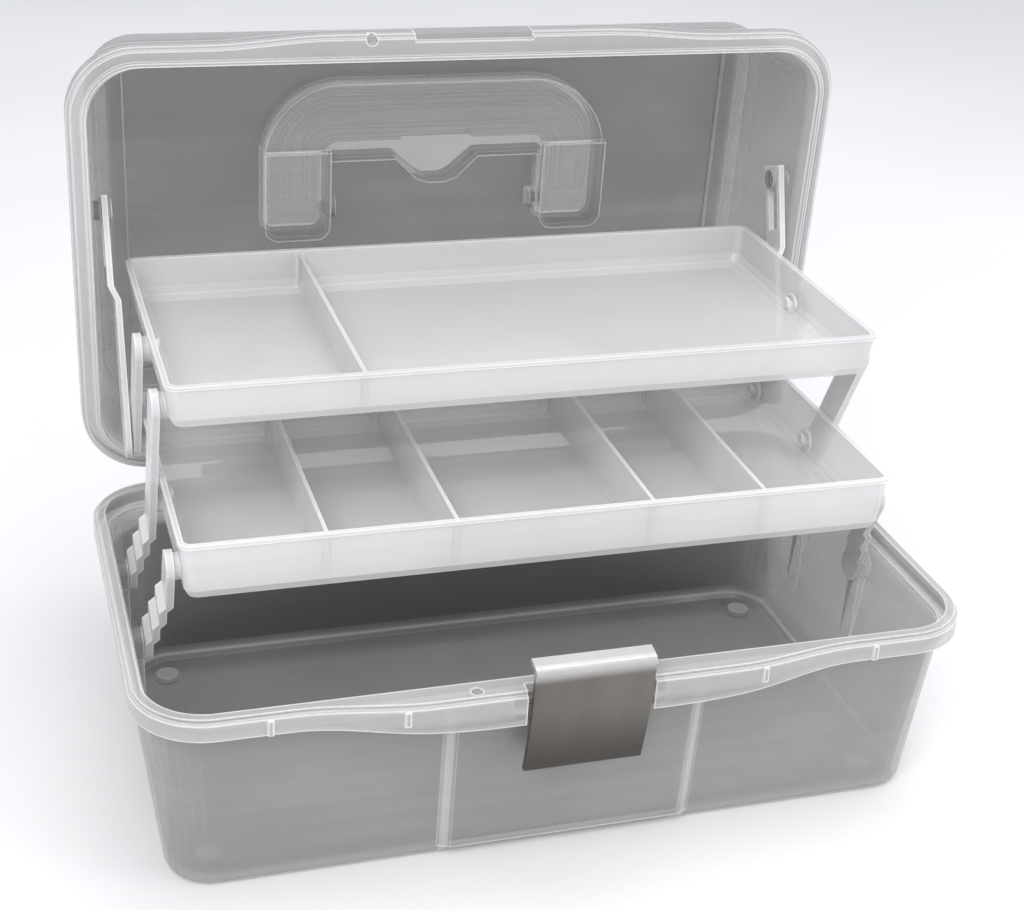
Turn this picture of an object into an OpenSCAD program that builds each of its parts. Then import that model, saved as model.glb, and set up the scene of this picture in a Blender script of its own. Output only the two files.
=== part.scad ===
// Sewing box with two cantilever trays, drawn with the lid open.
// X runs across the box, +Y to the rear, +Z up. The origin is the centre of the base's underside.

/* [Box] */
// Width over the rims
box_w = 330; // [326:1:336]
// Depth over the rims, without the front bulge
box_d = 186; // [184:1:190]
// Height of the base to its rim
base_h = 84; // [82:1:88]
// Height of the lid from its rim to the flat of its panel
lid_h = 60; // [58:1:64]
// Thickness of the moulded walls
wall = 2; // [1.6:0.1:2.2]
// Radius of the rim's corners in plan
rim_r = 28; // [26:1:30]
// How far the walls lean in from the rim to the bottom, each side
draft = 4; // [3:0.5:4.5]

/* [Rim] */
// Depth of the skirt that hangs from the base's rim
skirt_h = 8.6; // [8:0.2:9.6]
// How far the front of the rim bulges out
bulge = 6; // [5:0.5:7]
// Extra depth of the skirt along the bulge
skirt_drop = 5.4; // [4:0.2:5.6]

/* [Trays] */
// Width of both trays
tray_w = 284; // [280:1:284]
// Depth of both trays, front to back
tray_d = 134.5; // [130:0.5:136]
// Height of the upper tray
upper_h = 19; // [17:0.5:19]
// Height of the lower tray
lower_h = 25; // [23:0.5:26]
// Thickness of the tray walls
tray_wall = 1.6; // [1.4:0.1:2]

/* [Linkage] */
// Arm length from the base pivot to the lower tray
arm_low = 50; // [49:0.5:51]
// Arm length from the lower tray to the upper tray
arm_high = 57; // [56:0.5:57.5]
// Forward lean of the arms with the box open
arm_lean = 24.9; // [24:0.1:26]
// Width of the arms
arm_width = 13; // [11:0.5:13]
// Opening angle of the lid
lid_open = 88; // [86:1:90]

/* [Handle and latch] */
// Width over the handle's legs
handle_w = 150; // [146:1:152]
// Width of the handle's bar
bar_w = 22; // [20:1:23]
// Thickness of the handle
bar_t = 9; // [8:0.5:9.5]
// Width of the latch
latch_w = 46.5; // [45:0.5:47]
// Outward lean of the latch with the box open
latch_lean = 8; // [7.5:0.5:9]

/* [Hidden] */
$fn = 64;
hull_fn = 32;
eps = 0.02;

clear = ["white", 0.45];
milk = ["white", 0.75];

// Base and lid outlines, as half width and half depth
hw = box_w / 2;
hd = box_d / 2;
rim_in = 5;
wall_top = [hw - 4.5, hd - 7.5];
wall_bot = [wall_top.x - draft - 2.2, wall_top.y - draft - 1];
ledge_z = base_h - 8;
skirt_t = 1.5;
plate_t = 2;
gap = 0.3;
lid_z = base_h + gap;
lid_top = lid_z + lid_h;
lid_bulge = bulge / 2;

// Front bulge of the rims: flat between the inner ends, S-shaped out to the outer ends
bulge_in = 58;
bulge_out = 110;

// Lid hinge
hinge_y = hd + 3.6;
hinge_z = base_h;
knuckle_r = 3.4;
hinge_pin_r = 1.5;
hinge_x = 95;
knuckle_w = 20;

// Pivots, each as [y, z] with the box open
stud_r = 2.5;
bore_r = 2.6;
pivot_pitch = 54;
arm_dir = [-sin(arm_lean), cos(arm_lean)];
base_pivots = [[-9, 66], [-9 + pivot_pitch, 66]];
low_pivots = [for (i = [0:2]) base_pivots[0] + arm_low * arm_dir + [i * pivot_pitch, 0]];
high_pivots = [low_pivots[1] + arm_high * arm_dir, low_pivots[2] + arm_high * arm_dir];
lower_rim = low_pivots[0].y + 16.2;
upper_rim = high_pivots[0].y + 15;
lower_y = low_pivots[1].x - 1.8;
upper_y = high_pivots[0].x + 49.4;

// Layers across the box, measured from its middle
tray_hw = tray_w / 2;
tray_r = 4.5;
arm_t = 3;
arm_in = tray_hw + 1.3;
arm_out = arm_in + 7;
stay_t = 2.4;
stay_in = arm_in + arm_t + 0.7;
stay_out = stay_in + stay_t + 0.2;
boss_in = arm_out + arm_t + gap;

// Stud on the lid's end wall that drives the slotted stays, in the closed lid's frame
lid_stud = [-21.4, 100];
lid_stud_r = 1.6;
function turned(p, a) = [p.x * cos(a) - p.y * sin(a), p.x * sin(a) + p.y * cos(a)];
hinge_at = [hinge_y, hinge_z];
stud_open = hinge_at + turned(lid_stud - hinge_at, -lid_open);
stay_vec = stud_open - low_pivots[2];
stay_len = norm(stay_vec);
stay_angle = atan2(stay_vec.y, stay_vec.x);
slot_w = 8.6;
slot_travel = 20.6;
stay_w = 14.4;

// Dividers, each as the x of its middle
upper_at = -68;
lower_at = [-88, -38, 41, 88];
divider_t = 1.4;

// Handle, in the closed lid's frame
handle_y = -3;
handle_reach = 53.5;
handle_z = lid_top + 0.8 - bar_t / 2;
handle_stud_r = 2.4;
rib_h = 0.6;
rib_w = 1.7;
pocket_out = handle_w / 2 + 2.2;
pocket_in = handle_w / 2 - bar_w - 2.5;
pocket_top = handle_y - handle_reach - 3;
pocket_low = handle_y - 24.5;
pocket_end = handle_y + 10.5;
grip_depth = 10.5;
leg_depth = 14;
pocket_wall = 1.5;

// Latch, in its closed position
latch_y = -(hd + 3.3);
latch_z = base_h - 9.5;
latch_face = -(hd + bulge + 0.8);
latch_t = 2.2;
latch_top = base_h + 11;
latch_low = base_h - 38;
latch_tip = -(hd - 1.8);
latch_pin_r = 1.25;
notch_hw = 24.8;
ear_w = 5;

// ---- Shared shapes ----

module rounded(half, r) {
    square([2 * half.x - 2 * r, 2 * half.y], center = true);
    square([2 * half.x, 2 * half.y - 2 * r], center = true);
    for (x = [-1, 1], y = [-1, 1])
        translate([x * (half.x - r), y * (half.y - r)]) circle(r);
}

module slab(half, r, z, t = 0.4) {
    translate([0, 0, z]) linear_extrude(t) rounded(half, r, $fn = hull_fn);
}

// A cylinder along X from x0 to x1, through [y, z]
module x_rod(p, r, x0, x1) {
    translate([x0, p.x, p.y]) rotate([0, 90, 0]) cylinder(h = x1 - x0, r = r);
}

module mirrored(side) {
    if (side < 0) mirror([1, 0, 0]) children();
    else children();
}

// Moves the closed lid's frame to the open position
module opened() {
    translate([0, hinge_y, hinge_z]) rotate([-lid_open, 0, 0])
        translate([0, -hinge_y, -hinge_z]) children();
}

// Depth of the bulge at x, from 0 at its ends to 1 along its flat
function swell(x) =
    let (t = min(1, max(0, (bulge_out - abs(x)) / (bulge_out - bulge_in))))
    (1 - cos(180 * t)) / 2;
bulge_xs = [for (i = [0:10]) -bulge_out + i * (bulge_out - bulge_in) / 10];
all_xs = concat(bulge_xs, [for (i = [10:-1:0]) -bulge_xs[i]]);

// Outline of a rim with its front bulge, moved in by an inset
module rim_outline(inset = 0, out = bulge) {
    rounded([hw - inset, hd - inset], rim_r - inset);
    polygon(concat([for (x = all_xs) [x, -(hd - inset + out * swell(x))]],
                   [[bulge_out, -hd + 12], [-bulge_out, -hd + 12]]));
}

// ---- Base ----

module tub_outer(shrink = 0, floor_z = 0) {
    h = [shrink, shrink];
    hull() {
        slab(wall_bot - h - [4, 4], 14, floor_z);
        slab(wall_bot - h - [1.2, 1.2], 17, floor_z + 1.4);
        slab(wall_bot - h, 18, floor_z + 4.5);
        slab(wall_top - h, 22 - shrink, ledge_z - 0.4);
    }
}

// Raised middle of the front wall, between two sloping steps
module front_panel(shrink = 0, floor_z = 5) {
    face = 47 - shrink;
    root = 52 - shrink;
    hull() for (level = [[floor_z, wall_bot.y - shrink], [ledge_z - 0.4, wall_top.y - shrink]])
        translate([0, -level[1], level[0]]) linear_extrude(0.4)
            polygon([[-root, 8], [-root, 0], [-face, -2.4], [face, -2.4], [root, 0], [root, 8]]);
}

// Everything of the base's rim above the ledge
module base_rim() {
    translate([0, 0, ledge_z - 1]) linear_extrude(plate_t) difference() {
        rounded([hw - rim_in + 1.6, hd - rim_in + 1.6], rim_r - 3);
        rounded([wall_top.x - wall, wall_top.y - wall], 20);
    }
    translate([0, 0, ledge_z]) linear_extrude(base_h - ledge_z) difference() {
        rounded([hw - rim_in + 1.6, hd - rim_in + 1.6], rim_r - 3);
        rounded([hw - rim_in, hd - rim_in], rim_r - 4.6);
    }
    translate([0, 0, base_h - 3.6]) linear_extrude(1.8) difference() {
        rim_outline();
        rounded([hw - rim_in, hd - rim_in], rim_r - 4.6);
    }
    translate([0, 0, base_h - 1.8 - eps]) linear_extrude(1.8 + eps) difference() {
        rim_outline(skirt_t);
        rounded([hw - rim_in, hd - rim_in], rim_r - 4.6);
    }
    difference() {
        translate([0, 0, base_h - skirt_h - skirt_drop])
            linear_extrude(skirt_h + skirt_drop - 1.8) difference() {
                rim_outline();
                rim_outline(skirt_t);
            }
        skirt_cut();
    }
    for (x = [-118, -69.5, 69.5, 118])
        translate([x - 1, -hd - bulge * swell(x) - 0.7, base_h - skirt_h])
            cube([2, 1.5, skirt_h - 2.4]);
}

// Space below the skirt's lower edge, which dips along the bulge
module skirt_cut() {
    low = base_h - skirt_h - skirt_drop;
    function edge(x) = let (t = min(1, max(0, (113 - abs(x)) / 80)))
        base_h - skirt_h - skirt_drop * (1 - cos(180 * t)) / 2;
    xs = [for (i = [0:12]) -113 + i * 80 / 12];
    edge_xs = concat(xs, [for (i = [12:-1:0]) -xs[i]]);
    translate([0, hd + 20, 0]) rotate([90, 0, 0]) linear_extrude(box_d + 60)
        polygon(concat([[-hw - 5, low - 5], [-hw - 5, edge(hw)]],
                       [for (x = edge_xs) [x, edge(x)]],
                       [[hw + 5, edge(hw)], [hw + 5, low - 5]]));
}

// A point inside the end wall at height z
function end_wall(z) = wall_bot.x + (wall_top.x - wall_bot.x) * z / ledge_z - 0.7;

// Post and boss on an end wall, carrying one arm pivot
module pivot_post(p) {
    translate([0, p.x + 4.5, 0]) rotate([90, 0, 0]) linear_extrude(9)
        polygon([[boss_in, 24], [end_wall(16), 16], [end_wall(p.y), p.y], [boss_in, p.y]]);
    x_rod(p, 6.5, boss_in, end_wall(p.y));
}

module base_knuckle(x0, x1) {
    x_rod(hinge_at, knuckle_r, x0, x1);
    translate([x0, hd - 2, hinge_z - knuckle_r]) cube([x1 - x0, hinge_y - hd + 2, knuckle_r]);
}

// Ear beside the latch notch, drilled for the latch pin
module latch_ear(side) {
    mirrored(side) difference() {
        translate([notch_hw, -hd - bulge + 0.5, latch_z - 3.5])
            cube([ear_w, bulge + 4, base_h - 2 - latch_z + 3.5]);
        x_rod([latch_y, latch_z], latch_pin_r + 0.03, notch_hw - 1, notch_hw + ear_w + 1);
    }
}

module base_tub() {
    color(clear[0], clear[1]) difference() {
        union() {
            difference() {
                union() {
                    tub_outer();
                    front_panel();
                }
                tub_outer(wall, wall);
                front_panel(wall, wall + 4);
                translate([0, 0, ledge_z - 0.5]) linear_extrude(20)
                    rounded([wall_top.x - wall, wall_top.y - wall], 20);
            }
            base_rim();
            for (side = [-1, 1]) {
                mirrored(side) for (p = base_pivots) pivot_post(p);
                latch_ear(side);
                for (x = [-1, 1]) translate([side * hinge_x, 0, 0]) mirrored(x)
                    base_knuckle(knuckle_w / 2 + gap, knuckle_w / 2 + 10);
            }
            // Round pads on the floor, above the dimples
            for (x = [-137, 137], y = [-63, 63])
                translate([x, y, wall - 0.2]) cylinder(h = 1, r1 = 6, r2 = 4.6);
        }
        // Arm pivot bores
        for (side = [-1, 1]) mirrored(side) for (p = base_pivots)
            x_rod(p, bore_r, boss_in - 1, boss_in + 3.6);
        // Hinge pin bores
        x_rod(hinge_at, hinge_pin_r + 0.03, -hinge_x - 30, hinge_x + 30);
        // Notch for the latch
        translate([-notch_hw, -hd - bulge - 3, latch_z - 20])
            cube([2 * notch_hw, bulge + 3.2, base_h]);
        // Padlock hole
        translate([-43, -hd - 1, base_h - 6]) cylinder(h = 10, r = 2.2);
        // Dimples under the floor pads
        for (x = [-137, 137], y = [-63, 63])
            translate([x, y, -eps]) cylinder(h = 0.8, r = 4);
    }
}

// ---- Lid, drawn closed and then opened ----

module lid_outer(shrink = 0) {
    h = [shrink, shrink];
    hull() {
        slab([hw - 5.8, hd - 5.8] - h, 24 - shrink, lid_z - (shrink > 0 ? 1 : 0));
        slab([hw - 11.5, hd - 8.6] - h, 21 - shrink, lid_top - 9 - shrink);
        slab([hw - 14, hd - 10.8] - h, 18, lid_top - 2.8 - shrink);
        slab([hw - 18, hd - 15] - h, 14, lid_top - 0.4 - shrink);
    }
}

// Raised flat in the middle of the lid's panel
module lid_flat(z, t) {
    translate([0, 0, z]) linear_extrude(t) rounded([137.5, hd - 20], 4);
}

// Plan of the pocket for the handle's bar, with a dip for the fingers
module grip_plan(grow = 0) {
    out = pocket_out + grow;
    r = 34 + grow;
    difference() {
        union() {
            for (x = [-1, 1]) translate([x * (out - r), pocket_top - grow + r]) circle(r);
            translate([-out + r, pocket_top - grow]) square([2 * (out - r), 20]);
            translate([-out, pocket_top - grow + r]) square([2 * out, pocket_low + grow - pocket_top + grow - r]);
            translate([-out + r, pocket_top]) square([2 * (out - r), pocket_low + grow - pocket_top]);
        }
        translate([-out - 1, pocket_low + grow]) square([2 * out + 2, 100]);
    }
    polygon([[-19 - grow, pocket_low], [-8 - grow, pocket_low + 9.5 + grow], [-4, pocket_low + 11.5 + grow],
             [4, pocket_low + 11.5 + grow], [8 + grow, pocket_low + 9.5 + grow], [19 + grow, pocket_low]]);
}

// Plan of one leg's pocket
module leg_plan(grow = 0) {
    w = pocket_out - pocket_in + 2 * grow;
    l = pocket_end - pocket_low + 4 + grow;
    r = 5 + grow;
    translate([pocket_in - grow, pocket_low - 4]) {
        square([w, l - r]);
        translate([r, 0]) square([w - 2 * r, l]);
        for (x = [r, w - r]) translate([x, l - r]) circle(r);
    }
}

module pocket_solid(grow, extra) {
    top = lid_top + 1.2;
    translate([0, 0, top - grip_depth - extra]) linear_extrude(grip_depth + extra) grip_plan(grow);
    for (x = [-1, 1]) mirrored(x)
        translate([0, 0, top - leg_depth - extra]) linear_extrude(leg_depth + extra) leg_plan(grow);
}

module lid_rim() {
    translate([0, 0, lid_z]) linear_extrude(1.8) difference() {
        rim_outline(skirt_t, lid_bulge);
        rounded([hw - 7.6, hd - 7.6], rim_r - 6);
    }
    translate([0, 0, lid_z + 1.8 - eps]) linear_extrude(1.8) difference() {
        rim_outline(0, lid_bulge);
        rounded([hw - 7.6, hd - 7.6], rim_r - 6);
    }
    translate([0, 0, lid_z + 1.8]) linear_extrude(7) difference() {
        rim_outline(0, lid_bulge);
        rim_outline(skirt_t, lid_bulge);
    }
    // Locating lip that drops inside the base's rim
    translate([0, 0, lid_z - 2.2]) linear_extrude(2.4) difference() {
        rounded([hw - 5.6, hd - 5.6], rim_r - 5.2);
        rounded([hw - 7.2, hd - 7.2], rim_r - 6.8);
    }
}

module lid_knuckle() {
    x_rod(hinge_at, knuckle_r, -knuckle_w / 2, knuckle_w / 2);
    translate([-knuckle_w / 2, hd - 2.5, lid_z]) cube([knuckle_w, hinge_y - hd + 2.5, knuckle_r - gap]);
}

// Boss and headed stud on an end wall for the slotted stay
module stay_stud() {
    x_rod(lid_stud, lid_stud_r, stay_out - 0.8, hw - 8.6);
    x_rod(lid_stud, slot_w / 2 + 0.6, stay_out - 1.8, stay_out - 0.4);
    x_rod(lid_stud, 4, stay_out + stay_t + 0.3, hw - 8.6);
}

module lid_shell() {
    color(clear[0], clear[1]) opened() difference() {
        union() {
            difference() {
                union() {
                    lid_outer();
                    lid_flat(lid_top - 1, 2.2);
                }
                difference() {
                    union() {
                        lid_outer(wall);
                        lid_flat(lid_top - 1 - wall, 2.2);
                    }
                    pocket_solid(pocket_wall, pocket_wall);
                }
                pocket_solid(0, 0);
                translate([0, 0, lid_top + 1.2 - eps]) linear_extrude(5) square(box_w, center = true);
            }
            lid_rim();
            for (side = [-1, 1]) {
                translate([side * hinge_x, 0, 0]) lid_knuckle();
                mirrored(side) stay_stud();
                // Bosses beside the leg pockets for the handle's studs
                mirrored(side) x_rod([handle_y, handle_z], 5, pocket_in - 5, pocket_in);
            }
        }
        for (side = [-1, 1]) {
            mirrored(side) x_rod([handle_y, handle_z], handle_stud_r + 0.08, pocket_in - 3.5, pocket_in + 1);
            translate([side * hinge_x, 0, 0]) x_rod(hinge_at, hinge_pin_r + 0.06, -knuckle_w, knuckle_w);
        }
        // Notch for the latch, and the padlock hole
        translate([-notch_hw, -hd - bulge - 3, lid_z - 1]) cube([2 * notch_hw, bulge + 3, 20]);
        translate([-notch_hw, -hd - 1, latch_top - latch_t - 1]) cube([2 * notch_hw, 5, 10]);
        translate([-43, -hd - 1, lid_z - 1]) cylinder(h = 5.2, r = 2.2);
    }
}

// ---- Trays ----

module tray_body(h, shrink = 0, floor_z = 0) {
    s = [shrink, shrink];
    half = [tray_hw, tray_d / 2];
    hull() {
        slab(half - s - [6, 6], 3, floor_z);
        slab(half - s - [2.6, 2.6], 4, floor_z + 1.8);
        slab(half - s - [1.2, 1.2], tray_r - shrink / 2, floor_z + 5);
        slab(half - s, tray_r - shrink, h - 0.4 + (shrink > 0 ? 1 : 0));
    }
}

// A tray with its middle at y and its rim at z, pivot bosses, and guides for dividers at xs
module tray(h, y, rim_z, pivots, xs) {
    difference() {
        union() {
            translate([0, y, rim_z - h]) {
                difference() {
                    union() {
                        tray_body(h);
                        translate([0, 0, h - 1.6]) linear_extrude(1.6)
                            rounded([tray_hw + 0.6, tray_d / 2 + 0.6], tray_r + 0.6);
                    }
                    tray_body(h, tray_wall, tray_wall);
                }
                intersection() {
                    tray_body(h, tray_wall - 0.5, tray_wall - 0.5);
                    for (x = xs) divider_guides(x, h);
                }
            }
            for (side = [-1, 1]) mirrored(side) for (p = pivots)
                x_rod(p, 5.2, tray_hw - tray_wall - 2, arm_in - gap);
        }
        for (side = [-1, 1]) mirrored(side) for (p = pivots)
            x_rod(p, bore_r, tray_hw - 6.4, tray_hw + 5);
    }
}

module divider_guides(x, h) {
    for (side = [-1, 1], f = [-1, 1])
        translate([x + side * (divider_t / 2 + 0.65) - 0.5, f * (tray_d / 2 - 2.4) - 2.4, 0.5])
            cube([1, 4.8, h - 2.5]);
}

module lower_tray() {
    color(milk[0], milk[1]) tray(lower_h, lower_y, lower_rim, low_pivots, lower_at);
}

module upper_tray() {
    color(milk[0], milk[1]) tray(upper_h, upper_y, upper_rim, high_pivots, [upper_at]);
}

// A divider that stands in a tray between its guides
module divider(x, h, y, rim_z) {
    half = tray_d / 2 - tray_wall - 0.25;
    color(milk[0], milk[1]) translate([x - divider_t / 2, y, rim_z - h]) rotate([90, 0, 90])
        linear_extrude(divider_t)
            polygon([[-half, h - 0.8], [-half + 1.2, 7], [-half + 3.6, tray_wall + 1.6],
                     [-half + 8, tray_wall + 0.15], [half - 8, tray_wall + 0.15],
                     [half - 3.6, tray_wall + 1.6], [half - 1.2, 7], [half, h - 0.8]]);
}

// ---- Linkage ----

// Flat bar that follows a stepped path of [x, s] points, s running up from the lowest pivot
module stepped_bar(path, width, t) {
    n = len(path);
    rotate([90, 0, 0]) linear_extrude(width, center = true)
        polygon(concat([for (p = path) [p.x + t / 2, p.y]],
                       [for (i = [n - 1:-1:0]) [path[i].x - t / 2, path[i].y]]));
}

// Stud that carries an arm on a tray wall, with a snap lip on its upper side
module tray_stud(s, root = arm_in + 1) {
    x_rod([0, s], stud_r, tray_hw - 5.2, root);
    x_rod([1, s + 1], stud_r - 0.1, tray_hw - 5.8, tray_hw - 4.7);
}

// Path from the base's layer in to the trays' layer, in three joggles
function joggled(len) = let (x0 = arm_out + arm_t / 2, x1 = arm_in + arm_t / 2, d = (x0 - x1) / 3)
    concat([[x0, 0]], [for (i = [0:2], k = [0:1]) [x0 - d * (i + k), 8 + i * 10.5 + k * 3]],
           [[x1, len]]);

// Arm from a base pivot through one or two tray pivots
module base_arm(p, len, studs) {
    translate([0, p.x, p.y]) rotate([arm_lean, 0, 0]) {
        stepped_bar(joggled(len), arm_width, arm_t);
        x_rod([0, 0], arm_width / 2, arm_out, arm_out + arm_t);
        x_rod([0, len], arm_width / 2, arm_in, arm_in + arm_t);
        x_rod([0, 0], stud_r, arm_out + 1, boss_in + 3.2);
        for (s = studs) tray_stud(s);
    }
}

module front_arm(side) {
    color(milk[0], milk[1]) mirrored(side) base_arm(base_pivots[0], arm_low, [arm_low]);
}

module long_arm(side) {
    color(milk[0], milk[1]) mirrored(side)
        base_arm(base_pivots[1], arm_low + arm_high, [arm_low, arm_low + arm_high]);
}

// Arm between the trays, drilled at its foot for the stay's stud
module rear_arm(side) {
    color(milk[0], milk[1]) mirrored(side)
        translate([0, low_pivots[2].x, low_pivots[2].y]) rotate([arm_lean, 0, 0]) difference() {
            union() {
                x_mid = arm_in + arm_t / 2;
                stepped_bar([[x_mid, 0], [x_mid, arm_high]], arm_width, arm_t);
                for (s = [0, arm_high]) x_rod([0, s], arm_width / 2, arm_in, arm_in + arm_t);
                tray_stud(arm_high);
            }
            x_rod([0, 0], bore_r, arm_in - 1, arm_in + arm_t + 1);
        }
}

// Slotted link from the lower tray's rear pivot to the lid's stud
module lid_stay(side) {
    x0 = stay_in + stay_t / 2;
    x1 = stay_out + stay_t / 2;
    slot_end = stay_len + lid_stud_r + 0.6;
    slot_start = stay_len - slot_travel - lid_stud_r - 0.6;
    color(milk[0], milk[1]) mirrored(side)
        translate([0, low_pivots[2].x, low_pivots[2].y]) rotate([stay_angle - 90, 0, 0]) {
            difference() {
                union() {
                    stepped_bar([[x0, 0], [x0, slot_start - 14], [x1, slot_start - 8], [x1, slot_end]],
                                stay_w, stay_t);
                    x_rod([0, 0], stay_w / 2, stay_in, stay_in + stay_t);
                    translate([stay_out, -stay_w / 2, slot_end - eps]) cube([stay_t, stay_w, 4]);
                }
                translate([stay_out - 1, -slot_w / 2, slot_start])
                    cube([stay_t + 2, slot_w, slot_end - slot_start]);
            }
            tray_stud(0, stay_in + 1);
        }
}

// ---- Handle ----

// U-shaped plan of the handle, moved in from its edges by an inset
module handle_plan(inset = 0) {
    out = handle_w / 2 - inset;
    inner = handle_w / 2 - bar_w + inset;
    top = handle_y - handle_reach + inset;
    low = handle_y - handle_reach + bar_w - inset;
    r = 30;
    difference() {
        union() {
            for (x = [-1, 1]) translate([x * (out - r + inset), top + r - inset]) circle(r - inset);
            translate([-out + r, top]) square([2 * (out - r), 20]);
            translate([-out, top + r - inset]) square([2 * out, handle_y - top - r + inset]);
        }
        translate([-inner + 9, low]) square([2 * inner - 18, 100]);
        translate([-inner, low + 9]) square([2 * inner, 100]);
        for (x = [-1, 1]) translate([x * (inner - 9), low + 9]) circle(9);
    }
}

module handle() {
    color(milk[0], milk[1]) opened() difference() {
        union() {
            translate([0, 0, handle_z - bar_t / 2]) linear_extrude(bar_t) handle_plan();
            // Ribs along the bar's inner face, one ring inside the other
            for (inset = [1.6, 6]) translate([0, 0, handle_z - bar_t / 2 - rib_h])
                linear_extrude(rib_h + eps) difference() {
                    handle_plan(inset);
                    handle_plan(inset + rib_w);
                }
            for (side = [-1, 1]) mirrored(side) {
                x_rod([handle_y, handle_z], 7, handle_w / 2 - bar_w, handle_w / 2);
                x_rod([handle_y, handle_z], handle_stud_r, pocket_in - 3, handle_w / 2 - bar_w + 1);
            }
        }
        // Flat outer face over the rounded leg ends
        translate([-handle_w / 2 - 1, handle_y - 1, handle_z + bar_t / 2]) cube([handle_w + 2, 20, 10]);
    }
}

// ---- Latch and pins ----

// Side profile of the latch: gently bowed face, rolled top and hooked tip
module latch_profile() {
    steps = 10;
    bow = 1.4;
    face = [for (i = [0:steps]) let (t = i / steps)
            [latch_face + bow - bow * sin(180 * t * 0.9 + 10), latch_low + (latch_top - 3 - latch_low) * t]];
    roll = [for (a = [15:15:90]) [latch_face + 4.2 - 4.2 * cos(a), latch_top - 3 + 3 * sin(a)]];
    back = [for (i = [steps:-1:0]) [face[i].x + latch_t, min(face[i].y, latch_top - 4.4)]];
    polygon(concat(face, roll, [[latch_tip, latch_top], [latch_tip, latch_top - 2.2],
                                [latch_face + 5, latch_top - 2.4]], back));
}

module latch() {
    color("dimgray") translate([0, latch_y, latch_z]) rotate([latch_lean, 0, 0])
        translate([0, -latch_y, -latch_z]) difference() {
            union() {
                translate([-latch_w / 2, 0, 0]) rotate([90, 0, 90]) linear_extrude(latch_w) latch_profile();
                for (side = [-1, 1]) mirrored(side) {
                    x_rod([latch_y, latch_z], 2.7, 8, latch_w / 2 + 1);
                    translate([8, latch_face + 1, latch_z - 2.7]) cube([latch_w / 2 - 9, 3, 5.4]);
                }
            }
            x_rod([latch_y, latch_z], latch_pin_r + 0.06, -latch_w, latch_w);
        }
}

module latch_pin() {
    color("silver") x_rod([latch_y, latch_z], latch_pin_r, -notch_hw - ear_w + 0.3, notch_hw + ear_w - 0.3);
}

module hinge_pin(side) {
    color("silver") translate([side * hinge_x, 0, 0])
        x_rod(hinge_at, hinge_pin_r, -knuckle_w / 2 - 9.5, knuckle_w / 2 + 9.5);
}

base_tub();
lid_shell();
lower_tray();
upper_tray();
front_arm(-1);  // front_arm_left
front_arm(1);  // front_arm_right
long_arm(-1);  // long_arm_left
long_arm(1);  // long_arm_right
rear_arm(-1);  // rear_arm_left
rear_arm(1);  // rear_arm_right
lid_stay(-1);  // lid_stay_left
lid_stay(1);  // lid_stay_right
divider(upper_at, upper_h, upper_y, upper_rim);  // upper_divider
divider(lower_at[0], lower_h, lower_y, lower_rim);  // lower_divider_1
divider(lower_at[1], lower_h, lower_y, lower_rim);  // lower_divider_2
divider(lower_at[2], lower_h, lower_y, lower_rim);  // lower_divider_3
divider(lower_at[3], lower_h, lower_y, lower_rim);  // lower_divider_4
handle();
latch();
latch_pin();
hinge_pin(-1);  // hinge_pin_left
hinge_pin(1);  // hinge_pin_right
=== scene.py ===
"""Sewing box with two cantilever trays: materials, floor, light and camera."""
import math

import bmesh
import bpy
from mathutils import Matrix, Vector

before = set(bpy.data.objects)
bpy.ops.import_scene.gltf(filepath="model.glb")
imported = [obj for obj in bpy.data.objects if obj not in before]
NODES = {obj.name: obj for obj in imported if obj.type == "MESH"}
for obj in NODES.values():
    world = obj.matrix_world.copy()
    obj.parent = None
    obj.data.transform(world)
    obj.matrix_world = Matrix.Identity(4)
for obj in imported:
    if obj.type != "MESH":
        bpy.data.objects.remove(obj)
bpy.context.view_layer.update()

# Places on the part, in metres. Leans are metres outward for each metre up.
END_WALL_LEAN, SIDE_WALL_LEAN = 0.0816, 0.0658
CORNER_X, CORNER_Y = 0.1343, 0.0605
SKIN_IN, SKIN_OUT = 0.0187, 0.0193
CENTRE_PANEL_PROUD = 0.0024
PAD_X, PAD_Y = 0.137, 0.063
HINGE_Y, HINGE_Z = 0.0966, 0.084
LID_TILT = math.radians(2.0)
LIGHTS_AIM = (0.0, 0.0, 0.12)

# ---- Material nodes ----


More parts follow.
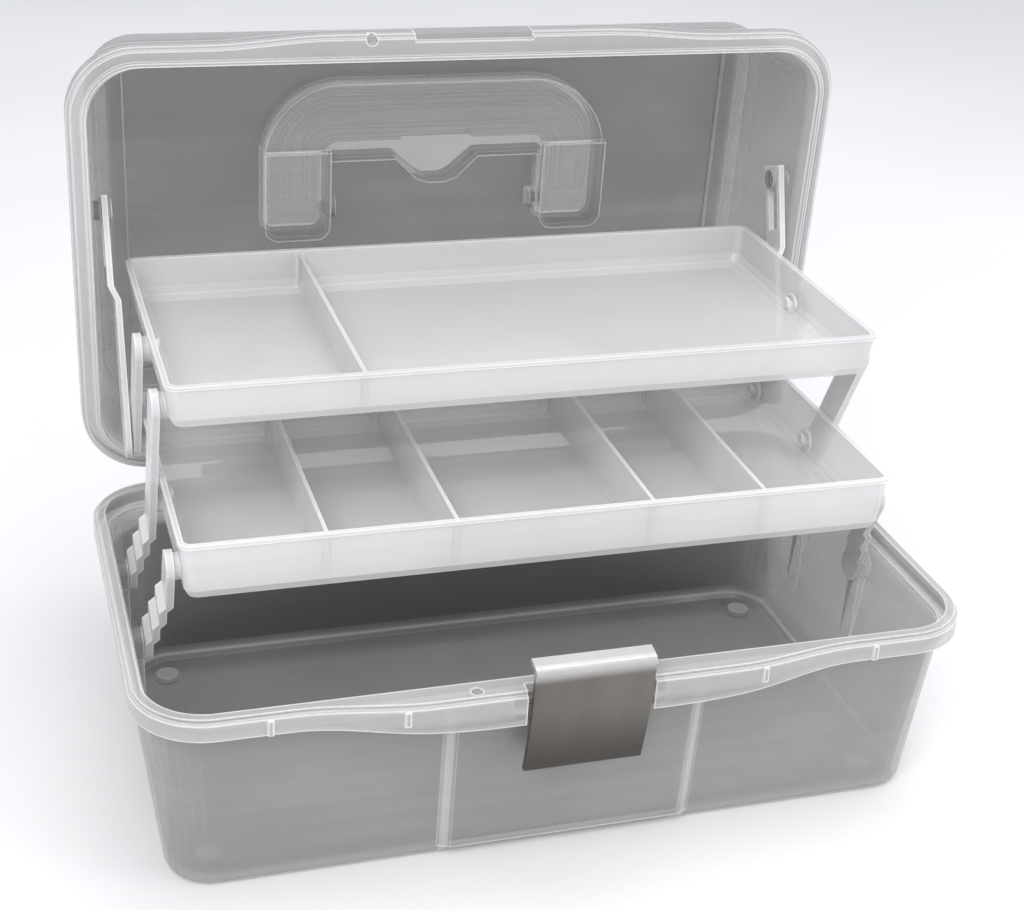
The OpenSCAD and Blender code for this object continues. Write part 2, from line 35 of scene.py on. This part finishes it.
class Maker:
    """Builds one material. Each method adds one node and returns its main output."""

    def __init__(self, name):
        self.material = bpy.data.materials.new(name)
        self.material.use_nodes = True
        self.tree = self.material.node_tree
        self.tree.nodes.clear()
        self.place = self.add("TexCoord").outputs["Object"]
        self.normal = self.add("NewGeometry").outputs["Normal"]

    def add(self, kind, **settings):
        node = self.tree.nodes.new("ShaderNode" + kind)
        for key, value in settings.items():
            setattr(node, key, value)
        return node

    def feed(self, socket, value):
        if isinstance(value, bpy.types.NodeSocket):
            self.tree.links.new(value, socket)
        else:
            socket.default_value = value

    def math(self, operation, a, b=0.0, clamp=False):
        node = self.add("Math", operation=operation, use_clamp=clamp)
        self.feed(node.inputs[0], a)
        self.feed(node.inputs[1], b)
        return node.outputs[0]

    def times(self, *values):
        """The product of several values."""
        product = values[0]
        for value in values[1:]:
            product = self.math("MULTIPLY", product, value)
        return product

    def axis(self, letter):
        node = self.add("SeparateXYZ")
        self.feed(node.inputs[0], self.place)
        return node.outputs[letter]

    def length(self, a, b):
        squares = self.math("ADD", self.times(a, a), self.times(b, b))
        return self.math("SQRT", squares)

    def ramp(self, value, start, end, low=0.0, high=1.0):
        """Smooth step of value: low before start, high after end."""
        node = self.add("MapRange", interpolation_type="SMOOTHSTEP")
        self.feed(node.inputs["Value"], value)
        for name, number in (("From Min", start), ("From Max", end), ("To Min", low), ("To Max", high)):
            node.inputs[name].default_value = number
        return node.outputs["Result"]

    def noise(self, scale, detail=3.0, stretch=(1.0, 1.0, 1.0)):
        spread = self.add("Mapping")
        self.feed(spread.inputs["Vector"], self.place)
        spread.inputs["Scale"].default_value = stretch
        node = self.add("TexNoise")
        self.feed(node.inputs["Vector"], spread.outputs[0])
        node.inputs["Scale"].default_value = scale
        node.inputs["Detail"].default_value = detail
        node.inputs["Roughness"].default_value = 0.5
        return node.outputs["Fac"]

    def blend(self, amount, a, b):
        node = self.add("Mix", data_type="RGBA")
        self.feed(node.inputs["Factor"], amount)
        self.feed(node.inputs["A"], a)
        self.feed(node.inputs["B"], b)
        # The colour output is the third of the mix node's outputs
        return node.outputs[2]

    def edges(self, radius, gain):
        """1 along the sharp edges of the shape, 0 away from them."""
        bevel = self.add("Bevel", samples=4)
        bevel.inputs["Radius"].default_value = radius
        dot = self.add("VectorMath", operation="DOT_PRODUCT")
        self.feed(dot.inputs[0], bevel.outputs[0])
        self.feed(dot.inputs[1], self.normal)
        away = self.math("SUBTRACT", 1.0, dot.outputs["Value"])
        return self.math("MULTIPLY", away, gain, clamp=True)

    def strongest(self, zones):
        """The highest of several (mask, amount) pairs."""
        best = 0.0
        for mask, amount in zones:
            best = self.math("MAXIMUM", self.times(mask, amount), best)
        return best

    def bump(self, height, distance):
        node = self.add("Bump")
        self.feed(node.inputs["Height"], height)
        node.inputs["Distance"].default_value = distance
        node.inputs["Strength"].default_value = 1.0
        return node.outputs[0]

    def surface(self, color, alpha, roughness, bump, **plain):
        node = self.add("BsdfPrincipled")
        self.feed(node.inputs["Base Color"], color)
        self.feed(node.inputs["Alpha"], alpha)
        self.feed(node.inputs["Roughness"], roughness)
        self.feed(node.inputs["Normal"], bump)
        for name, number in plain.items():
            node.inputs[name.replace("_", " ")].default_value = number
        output = self.add("OutputMaterial")
        self.tree.links.new(node.outputs[0], output.inputs["Surface"])
        return self.material


def grey(level, warm=0.0):
    return (level + warm, level, level - warm, 1.0)


def clear_plastic(name, body, frost, white=0.85, edge_white=0.7, edge_size=0.0012, zones=None, matt=0.0):
    """See-through moulded plastic. body is its own colour and frost how much of the light it stops.

    white is the grey level of whitened plastic, and edge_white and edge_size set how much of it is
    painted along sharp edges as a painted highlight. zones(maker) gives the (whiteness, frost) added by
    place, such as along a rim.
    matt is added to the roughness."""
    m = Maker(name)
    cloud = m.noise(9.0, 3.0, (1.0, 1.0, 2.2))
    streak = m.noise(5.0, 2.0, (0.7, 1.0, 26.0))
    flow = m.math("ADD", m.times(cloud, 0.7), m.times(streak, 0.3))
    shade = m.ramp(flow, 0.32, 0.68, -0.03, 0.04)
    # Painted highlight: sharp edges are whitened and made denser, standing in for light caught along
    # them.
    edge = m.times(m.edges(edge_size, 5.0), edge_white)
    whiter = m.math("ADD", edge, shade, clamp=True)
    denser = m.math("ADD", m.math("ADD", frost, shade), m.times(edge, 0.5))
    if zones:
        white_zone, dense_zone = zones(m)
        whiter = m.math("ADD", whiter, white_zone, clamp=True)
        denser = m.math("ADD", denser, dense_zone, clamp=True)
    color = m.blend(whiter, body, grey(white))
    rough = m.ramp(m.noise(55.0, 4.0), 0.3, 0.7, 0.14 + matt, 0.26 + matt)
    bump = m.bump(m.noise(38.0, 1.0), 0.00005)
    return m.surface(color, denser, rough, bump, IOR=1.49)


# ---- Materials of each part ----


def near(m, x, y, inner, outer):
    """1 within inner of the four upright lines at +-x, +-y, fading to 0 at outer."""
    dx = m.math("SUBTRACT", m.math("ABSOLUTE", m.axis("X")), x)
    dy = m.math("SUBTRACT", m.math("ABSOLUTE", m.axis("Y")), y)
    return m.ramp(m.length(dx, dy), inner, outer, 1.0, 0.0)


def from_corner_axes(m, wide, y, z, panel_proud):
    """Distance outward from the upright axes of the base's rounded corners, less the walls' lean."""
    long = m.math("SUBTRACT", m.math("SUBTRACT", wide, m.times(z, END_WALL_LEAN)), CORNER_X)
    deep = m.math("SUBTRACT", m.math("ABSOLUTE", y), m.times(z, SIDE_WALL_LEAN))
    deep = m.math("SUBTRACT", m.math("SUBTRACT", deep, CORNER_Y), panel_proud)
    return m.length(m.math("MAXIMUM", long, 0.0), m.math("MAXIMUM", deep, 0.0))


def base_zones(m):
    """White rim, light outer skin, pale steps and round pads, and darker inner walls and floor as
    painted shade; painted highlights on the ends and pivot posts, and painted shade on the rear inner
    wall.
    """
    wide, y, z = m.math("ABSOLUTE", m.axis("X")), m.axis("Y"), m.axis("Z")
    raised = m.times(m.ramp(wide, 0.0520, 0.0470), m.ramp(y, 0.0, -0.01))
    out = from_corner_axes(m, wide, y, z, m.times(raised, CENTRE_PANEL_PROUD))
    # Outer skin whitened while the inner walls and floor keep the dark body colour: a lit outside and
    # painted shade inside one plastic.
    skin = m.ramp(out, SKIN_IN, SKIN_OUT)
    foot = m.times(m.ramp(z, 0.0050, 0.0040), m.ramp(out, 0.0145, 0.0160))
    step = m.times(
        m.ramp(wide, 0.0465, 0.0485),
        m.ramp(wide, 0.0525, 0.0505),
        m.ramp(y, -0.0775, -0.0785),
        m.ramp(z, 0.072, 0.070),
    )
    pads = m.times(near(m, PAD_X, PAD_Y, 0.0040, 0.0062), m.ramp(z, 0.006, 0.004))
    # Painted shade: the rear inner wall below the rim is made denser, so more of the dark body shows
    # there.
    rear = m.times(m.ramp(out, SKIN_OUT, SKIN_IN), m.ramp(y, 0.060, 0.075), m.ramp(z, 0.070, 0.066))
    zones = (
        (m.ramp(z, 0.0665, 0.0765), 0.60),
        (skin, 0.46),
        (foot, 0.46),
        # Painted highlight: the ends of the base and the pivot posts beside them are whitened.
        (m.ramp(wide, 0.135, 0.152), 0.20),
        (m.ramp(wide, 0.1515, 0.1530), 0.42),
        (m.ramp(z, 0.008, 0.003), 0.32),
        (step, 0.62),
        (pads, 0.75),
    )
    return m.strongest(zones), m.strongest(((step, 0.2), (pads, 0.3), (rear, 0.24)))


def lid_zones(m):
    """Whiter rim and walls round the darker panel, and a handle pocket whitened as painted light."""
    wide = m.math("ABSOLUTE", m.axis("X"))
    # Depth from the rim towards the panel, on the lid's own tilt
    back = m.times(m.math("SUBTRACT", m.axis("Y"), HINGE_Y), math.cos(LID_TILT))
    rise = m.times(m.math("SUBTRACT", m.axis("Z"), HINGE_Z), math.sin(LID_TILT))
    depth = m.math("ADD", back, rise)
    # Painted light: the handle pocket is whitened and made clearer to brighten a region that the lamps
    # leave in shade.
    pocket = m.times(
        m.ramp(depth, 0.0592, 0.0586),
        m.ramp(depth, 0.0410, 0.0425),
        m.ramp(wide, 0.0805, 0.0795),
        m.ramp(m.axis("Z"), 0.2475, 0.2460),
    )
    skin = m.ramp(depth, 0.0601, 0.0609)
    zones = (
        (skin, 0.12),
        (m.ramp(depth, 0.014, 0.004), 0.54),
        (m.ramp(wide, 0.1415, 0.1470), 0.30),
        (m.ramp(m.axis("Z"), 0.2520, 0.2570), 0.34),
        (m.ramp(m.axis("Z"), 0.1050, 0.1000), 0.34),
        (pocket, 0.30),
    )
    return m.strongest(zones), m.times(pocket, -0.10)


def make_materials():
    base = clear_plastic("base_clear", grey(0.042, 0.012), 0.52, edge_white=0.95, zones=base_zones)
    lid = clear_plastic("lid_clear", grey(0.040, 0.003), 0.56, edge_white=1.0, zones=lid_zones)
    upper = clear_plastic("upper_tray_milky", grey(0.74), 0.58, white=0.95)
    lower = clear_plastic("lower_tray_milky", grey(0.84), 0.60, white=0.98)
    arm = clear_plastic("arm_white", grey(0.78), 0.8, white=0.97, matt=0.08)
    grip = clear_plastic("handle_clear", grey(0.66), 0.26, white=1.0, edge_white=1.0, edge_size=0.0006)
    materials = {"base_tub": base, "lid_shell": lid, "handle": grip, "latch": latch_grey()}
    for name in NODES:
        if name.startswith(("front_arm", "long_arm", "rear_arm", "lid_stay")):
            materials[name] = arm
        elif name.startswith("upper"):
            materials[name] = upper
        elif name.startswith("lower"):
            materials[name] = lower
    for name in ("latch_pin", "hinge_pin_left", "hinge_pin_right"):
        materials[name] = pin_steel()
    return materials


def latch_grey():
    """Satin warm-grey finish with fine grain down the face, darker towards the bottom as painted shade
    and lighter over the rolled top as painted highlight.
    """
    m = Maker("latch_grey")
    grain = m.noise(240.0, 3.0, (1.0, 1.0, 0.12))
    cloud = m.noise(22.0, 3.0, (1.0, 1.0, 0.3))
    face = m.blend(m.ramp(cloud, 0.3, 0.7), grey(0.105, 0.011), grey(0.155, 0.013))
    # Painted shade: the face darkens towards the bottom.
    face = m.blend(m.ramp(m.axis("Z"), 0.080, 0.047), face, grey(0.045, 0.006))
    # Painted highlight: the rolled top is made much lighter.
    color = m.blend(m.ramp(m.axis("Z"), 0.0875, 0.0925), face, grey(0.48, 0.012))
    rough = m.ramp(grain, 0.3, 0.7, 0.30, 0.42)
    return m.surface(color, 1.0, rough, m.bump(grain, 0.00006), Metallic=0.45, IOR=1.5)


def pin_steel():
    """Plain drawn wire, with faint marks round it."""
    m = Maker("pin_steel")
    turning = m.noise(500.0, 2.0, (3.0, 0.4, 0.4))
    color = m.blend(m.ramp(turning, 0.3, 0.7), grey(0.5), grey(0.62))
    rough = m.ramp(turning, 0.3, 0.7, 0.22, 0.36)
    return m.surface(color, 1.0, rough, m.bump(turning, 0.00004), Metallic=1.0)


def assign(materials):
    for name, node in NODES.items():
        node.data.materials.clear()
        node.data.materials.append(materials[name])


# ---- Floor, light and camera ----


def make_floor():
    mesh = bpy.data.meshes.new("floor")
    grid = bmesh.new()
    bmesh.ops.create_grid(grid, x_segments=1, y_segments=1, size=6.0)
    grid.to_mesh(mesh)
    grid.free()
    floor = bpy.data.objects.new("floor", mesh)
    bpy.context.scene.collection.objects.link(floor)
    m = Maker("floor_pale")
    cloud = m.ramp(m.noise(3.0, 2.0), 0.3, 0.7)
    color = m.blend(cloud, grey(0.80), grey(0.83))
    mesh.materials.append(m.surface(color, 1.0, 0.7, m.bump(m.noise(300.0, 2.0), 0.00005)))


def aim(thing, place, target):
    """Puts thing at place with its -Z axis towards target."""
    away = (Vector(place) - Vector(target)).normalized()
    thing.matrix_world = Matrix.Translation(place) @ away.to_track_quat("Z", "Y").to_matrix().to_4x4()


def area_light(name, place, size, power):
    data = bpy.data.lights.new(name, "AREA")
    data.shape = "RECTANGLE"
    data.size, data.size_y = size
    data.energy = power
    lamp = bpy.data.objects.new(name, data)
    bpy.context.scene.collection.objects.link(lamp)
    aim(lamp, place, LIGHTS_AIM)


def make_light():
    world = bpy.data.worlds.new("studio")
    world.use_nodes = True
    back = world.node_tree.nodes["Background"]
    back.inputs["Color"].default_value = (0.93, 0.95, 1.0, 1.0)
    back.inputs["Strength"].default_value = 0.66
    bpy.context.scene.world = world
    bpy.context.scene.view_settings.view_transform = "Standard"
    area_light("key_soft", (-0.9, -1.1, 1.5), (1.0, 1.0), 20.0)
    area_light("top_soft", (0.3, 0.2, 1.8), (1.4, 1.4), 16.0)
    area_light("fill_soft", (1.3, -0.9, 0.8), (0.9, 0.9), 7.0)


def make_camera():
    """The camera stands above and to the left of the box's front, at the photographed angle."""
    right = Vector((0.9606, -0.2740, 0.0455)).normalized()
    ahead = Vector((0.2643, 0.8515, -0.4529)).normalized()
    up = right.cross(ahead).normalized()
    turn = Matrix((right, up, -ahead)).transposed().to_4x4()
    data = bpy.data.cameras.new("camera")
    data.lens = 62.64
    data.sensor_width = 36.0
    data.shift_x, data.shift_y = 0.0365, 0.0131
    camera = bpy.data.objects.new("camera", data)
    bpy.context.scene.collection.objects.link(camera)
    camera.matrix_world = Matrix.Translation((-0.20708, -0.60559, 0.44706)) @ turn
    bpy.context.scene.camera = camera


assign(make_materials())
make_floor()
make_light()
make_camera()
